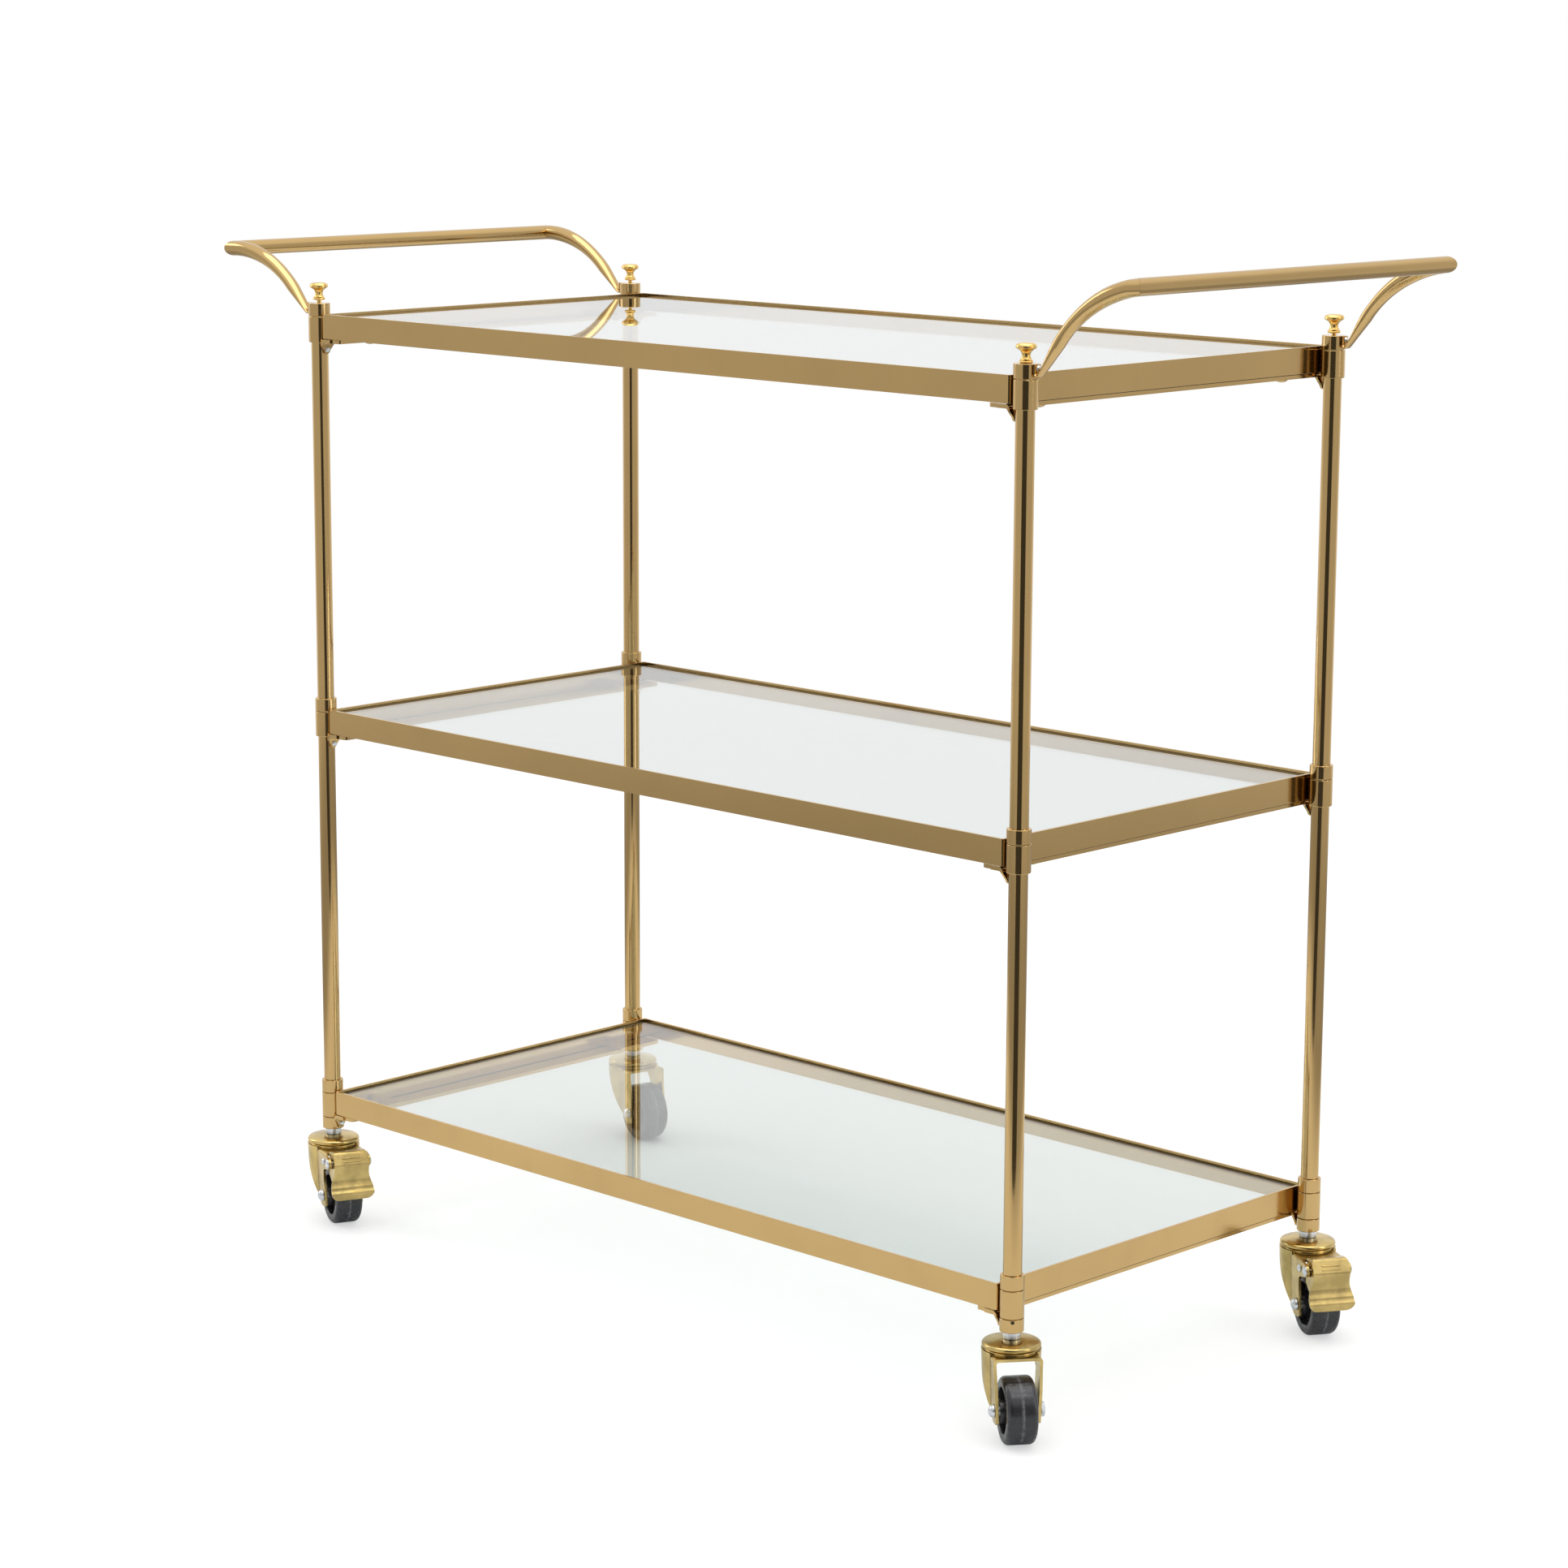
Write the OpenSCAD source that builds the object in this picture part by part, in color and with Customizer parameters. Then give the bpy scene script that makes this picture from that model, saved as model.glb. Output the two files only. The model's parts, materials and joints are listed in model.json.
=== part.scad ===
// Three-tier bar cart: brass tube posts, glass shelves in brass rails,
// a push handle at each end and four swivel casters, two of them braked.

/* [Cart] */
// Distance between post centres along the cart
post_span_x = 770; // [640:1:900]
// Distance between post centres across the cart
post_span_y = 352; // [320:1:450]
// Height of one tier, from shelf to shelf
tier_pitch = 329; // [260:1:380]

/* [Posts] */
// Outside diameter of the post tubes
post_d = 14; // [13:0.5:14.5]
// Wall thickness of the post tubes
post_wall = 1.2; // [1:0.1:2]
// Outside diameter of the collars on the posts
collar_d = 18; // [17.5:0.1:18]
// Height of the collar beside each shelf
socket_h = 21; // [20.5:0.5:22]
// Height of the ring above each collar
ferrule_h = 11; // [10:0.5:14]
// Height of the ring that holds each caster stem
foot_h = 10.5; // [10:0.5:14]

/* [Shelves] */
// Height of the shelf rails
rail_h = 20; // [18:0.5:21]
// Thickness of the rail wall
rail_wall = 2.2; // [1.8:0.1:3]
// Gap from the post centre lines in to the end rails
rail_inset = 9.9; // [9.4:0.1:14]
// Distance that the side rails stand outside the post centre lines
rail_outset = 6; // [0:0.5:8]
// Thickness of the glass plates
glass_t = 5; // [4:0.5:6]
// Depth of the glass below the top edge of the rails
glass_drop = 2; // [1:0.5:4]
// Width of the ledge that the glass rests on
ledge_w = 5; // [4:0.5:8]

/* [Support straps] */
// Width of the flat straps under the end rails
strap_w = 20; // [18:1:26]
// Thickness of the straps
strap_t = 3; // [2.5:0.5:4]

/* [Handles] */
// Outside diameter of the handle bar
bar_d = 12.5; // [12:0.5:14]
// Slope of the right handle's arms where they leave the posts
right_arm_slope = 55; // [50:1:58]
// Slope of the left handle's arms where they leave the posts
left_arm_slope = 44; // [40:1:50]

/* [Casters] */
// Diameter of the wheels
wheel_d = 50; // [48:1:51]
// Width of the wheel tread
wheel_w = 23; // [20:1:24]
// Distance from the swivel centre back to the axle
trail = 23; // [22:1:24]
// Direction in which the front left caster trails
front_left_trail = -23; // [-180:1:180]
// Direction in which the front right caster trails
front_right_trail = -37; // [-180:1:180]
// Direction in which the back right caster trails
back_right_trail = -32; // [-180:1:180]
// Direction in which the back left caster trails
back_left_trail = -15; // [-180:1:180]

/* [Hidden] */
CORNERS = ["front_left", "front_right", "back_right", "back_left"];
BRAKED = ["front_left", "back_right"];
ENDS = ["left", "right"];
TIERS = ["bottom", "middle", "top"];

// Colours
polished_brass = [0.72, 0.58, 0.33];
yellow_brass = [0.86, 0.66, 0.28];
satin_gold = [0.70, 0.60, 0.35];
zinc = [0.75, 0.76, 0.78];
clear_glass = [0.80, 0.90, 0.88, 0.35];
black_nylon = [0.12, 0.12, 0.13];

// Fit allowances
eps = 0.01;
slip = 0.05;
face_gap = 0.1;
$fn = 48;

// Post stack. Heights are measured from the floor, and a joint is the top of a shelf collar.
caster_h = 77.5;
post_r = post_d / 2;
collar_r = collar_d / 2;
ring_bore_r = post_r + slip;
ring_gap = 0.4;
ring_edge_r = 0.5;
cap_top_t = 2;
cap_lap = 6;
joiner_l = 24;
grub_z = caster_h + 8.5;
grub_recess = 1.2;
function joint_z(tier) = caster_h + foot_h + socket_h + tier * tier_pitch;

// Corner positions, and the direction in which each caster trails
function corner_x(c) = (c == "front_left" || c == "back_left" ? -1 : 1) * post_span_x / 2;
function corner_y(c) = (c == "front_left" || c == "front_right" ? -1 : 1) * post_span_y / 2;
function tier_index(t) = t == "bottom" ? 0 : t == "middle" ? 1 : 2;
function trail_angle(c) =
    c == "front_left" ? front_left_trail
    : c == "front_right" ? front_right_trail
    : c == "back_right" ? back_right_trail
    : back_left_trail;

// Shelf sizes
rail_rise = 2.5;
frame_x = post_span_x - 2 * rail_inset;
frame_y = post_span_y + 2 * rail_outset;
frame_corner_r = 2.5;
ledge_t = 2;
glass_clear = 0.5;
glass_corner_r = 3;
lug_w = 22;
lug_t = 2;
function rail_top(tier) = joint_z(tier) + rail_rise;
function rail_bottom(tier) = rail_top(tier) - rail_h;

// Straps: x is measured from the post centre towards the middle of the cart
strap_x = rail_inset + 1;
strap_end = 5;
strap_gap = 0.5;
strap_corner_r = 4;
leg_face_x = collar_r + face_gap;
leg_t = 2;
leg_top_w = 13;
leg_tip_w = 6;
leg_l = 12.5;
leg_bend_r = 4;
leg_root_r = 1.5;
leg_screw_drop = 8.2;
screw_r = 1.4;
screw_reach = 2.5;
screw_head_r = 2.4;
screw_head_h = 1.4;
bolt_x = 20;
bolt_y = 37;
bolt_r = 2.5;
bolt_head_r = 5;
bolt_head_h = 2.7;
// The leg leans in from the collar to the thinner tube. The foot ring is as wide as the collar.
function leg_lean(tier) = tier == 0 ? 0 : collar_r - post_r - face_gap;
function strap_top(tier) = rail_bottom(tier) - strap_gap;

// Handle arms: a flat tongue on the cap, a tight hook, a straight run and a long bend to the bar
bar_r = bar_d / 2;
tongue_half_w = 3.8;
tongue_half_t = 1.2;
tongue_x = collar_r + face_gap + tongue_half_t;
hook_r = 2;
hook_z = 4.6;
arm_straight_l = 27;
arm_bend_r = 103;
arm_bend_angle = 47;
arm_half_w = 5.8;
arm_half_t = 4.3;
mitre_gap = 0.1;
handle_screw_x = 5;
handle_screw_z = 8;
handle_screw_head_r = 2.2;
handle_screw_head_h = 1.8;

// Finials, and how far each one is screwed down onto its cap
finial_stud_r = 1.85;
finial_gaps = [2.5, 0.2, 1.6, 2.5];

// Caster, in its own frame: origin under the stem on the floor, +X towards the axle
wheel_r = wheel_d / 2;
axle_z = wheel_r;
axle_r = 3;
bush_r = 5;
bush_half_l = 14.1;
hub_half_l = 13.6;
nut_r = 5.6;
nut_h = 2.6;
nut_end_r = 3.6;
nut_end_h = 1.5;

// Fork: a folded sheet whose legs lean in from the bend to the axle
fork_outer_w = 36.6;
fork_plate_t = 2.2;
fork_lean = 2.2;
fork_bend_r = 3;
fork_inner_bend_r = 1.5;
fork_front_x = 28.5;
lintel_x = 25.5;
braked_front_x = 33.5;
bend_start_x = 14;
crown_z = 62;
crown_r = 20.5;
crown_top_z = 65.8;
crown_edge_r = 1.2;
crown_wrap_r = 21.9;
leg_top_z = 64.9;
cap_z = 66.3;
cap_r = 21.8;
cap_top_z = 72.4;
ball_race_r = 14;
ball_r = 1.8;
ball_count = 12;
ball_z = (crown_top_z + cap_z) / 2;
spacer_r = 6.8;
stem_r = 5.7;
stem_top_z = 100;
kingpin_r = 4;
kingpin_head_r = 7;
kingpin_head_h = 2.5;
kingpin_gap = 0.3;

// Brake pedal: its pivot and spring pin pass through the horns of the fork
pivot_x = 43.5;
pivot_z = 57.8;
pivot_r = 2;
pivot_boss_r = 4.7;
rivet_head_r = 4;
rivet_head_h = 1.6;
spring_pin_x = 31.5;
spring_pin_z = 57;
spring_pin_r = 1.5;
spring_head_r = 2.9;
pedal_t = 1.6;
pedal_half_w = 15;
pedal_flare = 3.5;
ear_t = 2;
ear_r = 4.6;
shoe_gap = 0.35;
shoe_t = 2.2;
ridge_r = 0.9;
ridge_half_l = 8;

// ---------- shared shapes ----------

// Points on an arc from angle a0 to a1
function arc(x, y, r, a0, a1, steps = 8) =
    [for (i = [0:steps]) [x + r * cos(a0 + (a1 - a0) * i / steps), y + r * sin(a0 + (a1 - a0) * i / steps)]];

function mix(a, b, t) = a + (b - a) * t;

function ease(t) = let (u = min(1, max(0, t))) u * u * (3 - 2 * u);

module rounded_rect(x, y, r) {
    square([x - 2 * r, y], center = true);
    square([x, y - 2 * r], center = true);
    for (sx = [-1, 1], sy = [-1, 1])
        translate([sx * (x / 2 - r), sy * (y / 2 - r)]) circle(r);
}

// A ring from z = 0 up, with a softened outer edge at both ends
module ring(bore_r, outer_r, h, edge_r = ring_edge_r) {
    rotate_extrude()
        polygon(concat(
            [[bore_r, 0]],
            arc(outer_r - edge_r, edge_r, edge_r, -90, 0, 4),
            arc(outer_r - edge_r, h - edge_r, edge_r, 0, 90, 4),
            [[bore_r, h]]
        ));
}

module tube(z0, z1) {
    translate([0, 0, z0])
        difference() {
            cylinder(r = post_r, h = z1 - z0);
            translate([0, 0, -1]) cylinder(r = post_r - post_wall, h = z1 - z0 + 2);
        }
}

// Moves to a corner, with +X pointing from the post towards the middle of the cart
module at_post(c) {
    translate([corner_x(c), corner_y(c), 0])
        mirror([corner_x(c) > 0 ? 1 : 0, 0, 0]) children();
}

module at_each_post() {
    for (c = CORNERS) at_post(c) children();
}

// Moves to a caster, with +X pointing from the stem towards the axle
module at_caster(c) {
    translate([corner_x(c), corner_y(c), 0]) rotate([0, 0, trail_angle(c)]) children();
}

// Lies along a grub screw, in the frame of its post, pointing away from the cart's middle
module at_grub_screw(c) {
    translate([0, 0, grub_z]) rotate([0, 0, corner_y(c) < 0 ? -135 : 135]) rotate([0, 90, 0]) children();
}

// Lies along the screw through a strap leg, pointing away from the post
module at_leg_screw(tier) {
    lean = leg_lean(tier);
    drop = leg_screw_drop - leg_bend_r;
    slope = atan2(lean, leg_l - leg_bend_r);
    translate([leg_face_x - drop * tan(slope), 0, strap_top(tier) - leg_screw_drop])
        rotate([0, 90 + slope, 0]) children();
}

module leg_screw_holes(tier) {
    at_leg_screw(tier) translate([0, 0, -4]) cylinder(r = screw_r, h = 8);
}

// ---------- shelves ----------

module shelf_frame(tier) {
    z0 = rail_bottom(tier);
    ledge_top = rail_top(tier) - glass_drop - glass_t;
    inner_x = frame_x - 2 * rail_wall;
    inner_y = frame_y - 2 * rail_wall;
    lug_y = post_span_y / 2 - bolt_y;
    color(polished_brass) difference() {
        union() {
            difference() {
                translate([0, 0, z0]) linear_extrude(rail_h) rounded_rect(frame_x, frame_y, frame_corner_r);
                translate([0, 0, ledge_top]) linear_extrude(rail_h) square([inner_x, inner_y], center = true);
                translate([0, 0, z0 - 1])
                    linear_extrude(ledge_top - ledge_t - z0 + 1) square([inner_x, inner_y], center = true);
                translate([0, 0, z0]) linear_extrude(rail_h)
                    square([inner_x - 2 * ledge_w, inner_y - 2 * ledge_w], center = true);
            }
            for (sx = [-1, 1], sy = [-1, 1])
                translate([sx * (inner_x - lug_w) / 2, sy * lug_y, z0 + (lug_t - strap_gap) / 2])
                    cube([lug_w + rail_wall, lug_w, lug_t + strap_gap], center = true);
        }
        for (sx = [-1, 1], sy = [-1, 1])
            translate([sx * (post_span_x / 2 - bolt_x), sy * lug_y, z0 - 1])
                cylinder(r = bolt_r + slip, h = lug_t + 2);
    }
}

module shelf_glass(tier) {
    color(clear_glass)
        translate([0, 0, rail_top(tier) - glass_drop - glass_t])
            linear_extrude(glass_t)
                rounded_rect(frame_x - 2 * (rail_wall + glass_clear),
                             frame_y - 2 * (rail_wall + glass_clear), glass_corner_r);
}

// ---------- posts ----------

module lower_post(c) {
    color(polished_brass) at_post(c) difference() {
        tube(caster_h + 1, joint_z(1) - ring_gap / 2);
        leg_screw_holes(0);
        leg_screw_holes(1);
        at_grub_screw(c) cylinder(r = screw_r, h = collar_r);
    }
}

module upper_post(c) {
    color(polished_brass) at_post(c) difference() {
        tube(joint_z(1) + ring_gap / 2, joint_z(2) + cap_lap);
        leg_screw_holes(2);
    }
}

module shelf_sockets() {
    color(polished_brass)
        for (tier = [0:2]) at_each_post()
            translate([0, 0, joint_z(tier) - socket_h]) ring(ring_bore_r, collar_r, socket_h);
}

module post_ferrules() {
    color(polished_brass)
        for (tier = [0, 1]) at_each_post()
            translate([0, 0, joint_z(tier) + ring_gap]) ring(ring_bore_r, collar_r, ferrule_h - ring_gap);
}

module post_caps() {
    color(polished_brass) at_each_post() difference() {
        translate([0, 0, joint_z(2) + ring_gap]) ring(0, collar_r, ferrule_h - ring_gap);
        translate([0, 0, joint_z(2)]) cylinder(r = ring_bore_r, h = ferrule_h - cap_top_t);
        translate([0, 0, joint_z(2)]) cylinder(r = finial_stud_r + slip, h = 2 * ferrule_h);
        translate([-2 * collar_r, 0, joint_z(2) + handle_screw_z])
            rotate([0, 90, 0]) cylinder(r = screw_r, h = 2 * collar_r);
    }
}

// Rings under the lowest collars, each with a grub screw that holds the caster stem
module foot_rings() {
    color(polished_brass) for (c = CORNERS) at_post(c) difference() {
        translate([0, 0, caster_h]) ring(ring_bore_r, collar_r, foot_h - ring_gap);
        leg_screw_holes(0);
        at_grub_screw(c) cylinder(r = screw_r, h = collar_r);
    }
}

// Plugs inside the posts that carry the upper tubes on the lower ones
module post_joiners() {
    color(zinc) at_each_post()
        translate([0, 0, joint_z(1) - joiner_l / 2])
            cylinder(r = post_r - post_wall - slip, h = joiner_l);
}

// ---------- support straps ----------

// Side view of one leg, bent down from the strap along the inner face of the post
module leg_profile(tier) {
    lean = leg_lean(tier);
    x = leg_face_x;
    polygon(concat(
        [[strap_x + strap_w / 2, 0]],
        arc(x + leg_bend_r, -leg_bend_r, leg_bend_r, 90, 180, 6),
        [[x - lean, -leg_l], [x - lean + leg_t, -leg_l]],
        arc(x + leg_t + leg_root_r, -strap_t - leg_root_r, leg_root_r, 180, 90, 4),
        [[strap_x + strap_w / 2, -strap_t]]
    ));
}

// Front view of one leg: it narrows to a rounded tip
module leg_outline() {
    tip_r = leg_tip_w / 2;
    polygon(concat(
        [[leg_top_w / 2, 1], [-leg_top_w / 2, 1], [-leg_top_w / 2, -leg_bend_r]],
        arc(0, tip_r - leg_l, tip_r, 180, 360, 10),
        [[leg_top_w / 2, -leg_bend_r]]
    ));
}

module strap_leg(tier) {
    intersection() {
        rotate([90, 0, 0])
            translate([0, 0, -leg_top_w]) linear_extrude(2 * leg_top_w) leg_profile(tier);
        rotate([90, 0, 90]) linear_extrude(strap_x + strap_w) leg_outline();
    }
}

module strap(tier, end) {
    side = end == "left" ? 0 : 1;
    color(polished_brass) mirror([side, 0, 0]) difference() {
        translate([-post_span_x / 2, 0, strap_top(tier)]) union() {
            translate([strap_x + strap_w / 2, 0, -strap_t])
                linear_extrude(strap_t) rounded_rect(strap_w, post_span_y + 2 * strap_end, strap_corner_r);
            for (sy = [-1, 1]) translate([0, sy * post_span_y / 2, 0]) strap_leg(tier);
        }
        for (sy = [-1, 1]) {
            translate([-post_span_x / 2, sy * post_span_y / 2, 0]) leg_screw_holes(tier);
            translate([bolt_x - post_span_x / 2, sy * (post_span_y / 2 - bolt_y), strap_top(tier)])
                cylinder(r = bolt_r + slip, h = 3 * strap_t, center = true);
        }
    }
}

module strap_screws() {
    color(zinc) for (tier = [0:2]) at_each_post() at_leg_screw(tier) {
        translate([0, 0, -screw_reach]) cylinder(r = screw_r - slip, h = screw_reach + leg_t + 2 * slip);
        translate([0, 0, leg_t + slip]) button_head(screw_head_r, screw_head_h);
    }
}

// A domed head that stands on the plane z = 0
module button_head(r, h) {
    rotate_extrude() polygon(concat([[0, 0]], [for (a = [0:7.5:90]) [r * cos(a), h * sin(a)]]));
}

module shelf_bolts() {
    color(polished_brass) for (tier = [0:2], sx = [-1, 1], sy = [-1, 1])
        translate([sx * (post_span_x / 2 - bolt_x), sy * (post_span_y / 2 - bolt_y), strap_top(tier)]) {
            translate([0, 0, -strap_t - eps]) cylinder(r = bolt_r, h = strap_t + lug_t + 3);
            translate([0, 0, -strap_t]) mirror([0, 0, 1]) button_head(bolt_head_r, bolt_head_h);
        }
}

// ---------- handles ----------

// Side view of an arm, outwards from the post centre line and up from the top joint.
// Each entry is [x, z, direction, half width, half thickness].
function arm_path(slope) = let (
    hook_x = tongue_x + hook_r,
    start_x = hook_x + hook_r * sin(slope),
    start_z = hook_z - hook_r * cos(slope),
    bend_x = start_x + arm_straight_l * cos(slope),
    bend_z = start_z + arm_straight_l * sin(slope)
) concat(
    [[tongue_x, ferrule_h, -90, tongue_half_w, tongue_half_t]],
    [for (i = [0:5]) let (a = 180 + (90 + slope) * i / 5)
        [hook_x + hook_r * cos(a), hook_z + hook_r * sin(a), a + 90, tongue_half_w, tongue_half_t]],
    [for (i = [1:4]) let (t = i / 5)
        [mix(start_x, bend_x, t), mix(start_z, bend_z, t), slope,
         mix(tongue_half_w, arm_half_w, t), mix(tongue_half_t, arm_half_t, t)]],
    [for (i = [0:12]) let (t = i / 12, a = slope - arm_bend_angle * t)
        [bend_x + arm_bend_r * (sin(slope) - sin(a)), bend_z + arm_bend_r * (cos(a) - cos(slope)), a,
         mix(arm_half_w, bar_r, ease(t * 1.6)), mix(arm_half_t, bar_r, ease(t * 1.3))]]
);

function arm_end(slope) = let (path = arm_path(slope)) path[len(path) - 1];
function slope_of(end) = end == "left" ? left_arm_slope : right_arm_slope;
function end_of(c) = corner_x(c) < 0 ? "left" : "right";

// Moves to the top joint of a post, with +X pointing away from the cart
module at_top_outside(x_side, y) {
    translate([x_side * post_span_x / 2, y, joint_z(2)]) mirror([x_side < 0 ? 1 : 0, 0, 0]) children();
}

// The arm is one skin through oval rings. Its last ring lies in the mitre with the bar.
module arm_skin(path, mitre_side) {
    sides = 24;
    last = len(path) - 1;
    points = [for (i = [0:last], k = [0:sides - 1]) let (
        p = path[i], angle = 360 * k / sides,
        y = p[3] * cos(angle), n = p[4] * sin(angle)
    ) i < last ? [p[0] - n * sin(p[2]), y, p[1] + n * cos(p[2])] : [p[0] - mitre_side * y, y, p[1] + n]];
    walls = [for (i = [0:last - 1], k = [0:sides - 1]) let (
        a = i * sides + k, b = i * sides + (k + 1) % sides
    ) [a, b, b + sides, a + sides]];
    polyhedron(points, concat(
        walls,
        [[for (k = [sides - 1:-1:0]) k]],
        [[for (k = [0:sides - 1]) last * sides + k]]
    ));
}

module handle_arm(c) {
    front = corner_y(c) < 0 ? 1 : -1;
    color(polished_brass) at_top_outside(sign(corner_x(c)), corner_y(c))
        arm_skin(arm_path(slope_of(end_of(c))), front);
}

module handle_bar(end) {
    tip = arm_end(slope_of(end));
    color(polished_brass) at_top_outside(end == "left" ? -1 : 1, 0) translate([tip[0], 0, tip[1]])
        difference() {
            rotate([90, 0, 0]) cylinder(r = bar_r, h = post_span_y + 2 * bar_d, center = true);
            for (s = [-1, 1])
                translate([0, s * post_span_y / 2, 0]) rotate([0, 0, s * 45])
                    translate([0, s * (2 * bar_d - mitre_gap), 0]) cube(4 * bar_d, center = true);
        }
}

module handle_screws() {
    color(yellow_brass) for (sx = [-1, 1], sy = [-1, 1])
        at_top_outside(sx, sy * post_span_y / 2)
            translate([handle_screw_x, 0, handle_screw_z]) rotate([0, 90, 0]) {
                cylinder(r = screw_r - slip, h = tongue_x + tongue_half_t + eps - handle_screw_x);
                translate([0, 0, tongue_x + tongue_half_t - handle_screw_x])
                    button_head(handle_screw_head_r, handle_screw_head_h);
            }
}

// ---------- finials ----------

module finial() {
    translate([0, 0, -6]) cylinder(r = finial_stud_r, h = 7);
    rotate_extrude() polygon(concat(
        [[0, 0]],
        arc(4.2, 0.8, 0.8, -90, 55, 8),
        arc(7.4, 5.3, 4.3, 232, 118, 16),
        arc(6.7, 10.9, 0.8, -65, 0, 6),
        arc(4.9, 11.2, 2.6, 5, 78, 10),
        arc(0, -11.9, 26.2, 80, 90, 6)
    ));
}

module finials() {
    color(yellow_brass) for (i = [0:3]) at_post(CORNERS[i])
        translate([0, 0, joint_z(2) + ferrule_h + finial_gaps[i]]) finial();
}

// ---------- casters ----------

module grub_screws() {
    color(zinc) for (c = CORNERS) at_post(c) at_grub_screw(c)
        translate([0, 0, stem_r + eps]) difference() {
            cylinder(r = screw_r - slip, h = collar_r - stem_r - grub_recess);
            translate([0, 0, 1]) cylinder(r = 0.8, h = 3, $fn = 6);
        }
}

// Kingpin, spacer and stem in one turned piece
module caster_stems() {
    color(zinc) for (c = CORNERS) at_caster(c) rotate_extrude() polygon([
        [0, crown_z - kingpin_gap - kingpin_head_h],
        [kingpin_head_r - 1, crown_z - kingpin_gap - kingpin_head_h],
        [kingpin_head_r, crown_z - kingpin_gap - 1],
        [kingpin_head_r, crown_z - kingpin_gap],
        [kingpin_r, crown_z - kingpin_gap],
        [kingpin_r, cap_top_z],
        [spacer_r, cap_top_z],
        [spacer_r, caster_h - face_gap],
        [stem_r, caster_h - face_gap],
        [stem_r, stem_top_z],
        [0, stem_top_z]
    ]);
}

// Lies across the caster, with +Z pointing to one side
module at_side(x, z) {
    translate([x, 0, z]) rotate([90, 0, 0]) children();
}

module ball_race() {
    rotate_extrude() translate([ball_race_r, ball_z]) circle(ball_r + slip);
}

// A shallow dome with a rounded shoulder; its widest line is low on the rim
module swivel_caps() {
    rim_z = cap_z + 1.4;
    shoulder_r = 2.4;
    dome_r = 95.7;
    color(satin_gold) for (c = CORNERS) at_caster(c) difference() {
        rotate_extrude() polygon(concat(
            [[kingpin_r + slip, cap_z]],
            arc(cap_r - 1.4, rim_z, 1.4, -90, 0, 8),
            arc(cap_r - shoulder_r, rim_z, shoulder_r, 10, 78, 10),
            arc(0, cap_top_z - face_gap - dome_r, dome_r, 79.5, 85.5, 8),
            [[kingpin_r + slip, cap_top_z - face_gap]]
        ));
        ball_race();
    }
}

module swivel_balls() {
    color(zinc) for (c = CORNERS) at_caster(c)
        for (i = [0:ball_count - 1]) rotate([0, 0, i * 360 / ball_count])
            translate([ball_race_r, 0, ball_z]) sphere(ball_r);
}

function is_braked(c) = c == BRAKED[0] || c == BRAKED[1];

// Side view of a fork leg. A braked fork has horns that reach forward to the pedal's pivot.
function fork_side(braked) = concat(
    [[-13, leg_top_z]],
    arc(20.5, 22.5, 7.5, 211, 285, 10),
    arc(fork_front_x - 2, 17.6, 2, -80, 0, 5),
    braked
        ? concat(
            arc(fork_front_x + 5, 45.5, 5, 180, 105, 8),
            arc(pivot_x, pivot_z, pivot_boss_r, -75, 85, 14),
            [[braked_front_x + 0.5, crown_z + fork_plate_t], [bend_start_x, leg_top_z]])
        : [[fork_front_x, leg_top_z]]
);

// Top view of one fork leg: straight beside the wheel, then curved round under the crown
module fork_plan() {
    outer = fork_outer_w / 2;
    inner = outer - fork_plate_t;
    wrap = crown_wrap_r - fork_plate_t;
    reach = pivot_x + 2 * pivot_boss_r;
    polygon(concat(
        [[reach, inner], [reach, outer]],
        arc(0, 0, crown_wrap_r, asin(outer / crown_wrap_r), 130, 20),
        arc(0, 0, wrap, 130, asin(inner / wrap), 20)
    ));
}

module fork_leg(braked) {
    translate([0, fork_outer_w / 2, crown_z]) rotate([-fork_lean, 0, 0])
        translate([0, -fork_outer_w / 2, -crown_z]) intersection() {
            linear_extrude(cap_z) fork_plan();
            translate([0, 2 * crown_r, 0]) rotate([90, 0, 0]) linear_extrude(2 * crown_r)
                polygon(fork_side(braked));
        }
}

// What the fold takes away along one top edge of the fork, and the fillet inside the fold
module fold_relief(front_x) {
    y = fork_outer_w / 2 - fork_bend_r;
    z = crown_z + fork_plate_t - fork_bend_r;
    translate([bend_start_x, y, z]) difference() {
        cube([front_x - bend_start_x + 3, 3 * fork_bend_r, 3 * fork_bend_r]);
        rotate([0, 90, 0]) cylinder(r = fork_bend_r, h = 2 * front_x);
    }
}

module fold_fillet(front_x) {
    y = fork_outer_w / 2 - fork_plate_t - fork_inner_bend_r;
    z = crown_z - fork_inner_bend_r;
    translate([bend_start_x, y, z]) difference() {
        cube([front_x - bend_start_x, fork_inner_bend_r + 0.5, fork_inner_bend_r + 0.5]);
        translate([-1, 0, 0]) rotate([0, 90, 0]) cylinder(r = fork_inner_bend_r, h = 2 * front_x);
    }
}

// Trims the top front of an unbraked fork back to one straight face
module lintel_cut() {
    at_side(0, 0) linear_extrude(2 * fork_outer_w, center = true)
        polygon([[fork_front_x + 0.6, 36], [lintel_x, 57], [lintel_x, cap_z + 2],
                 [pivot_x, cap_z + 2], [pivot_x, 36]]);
}

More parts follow.
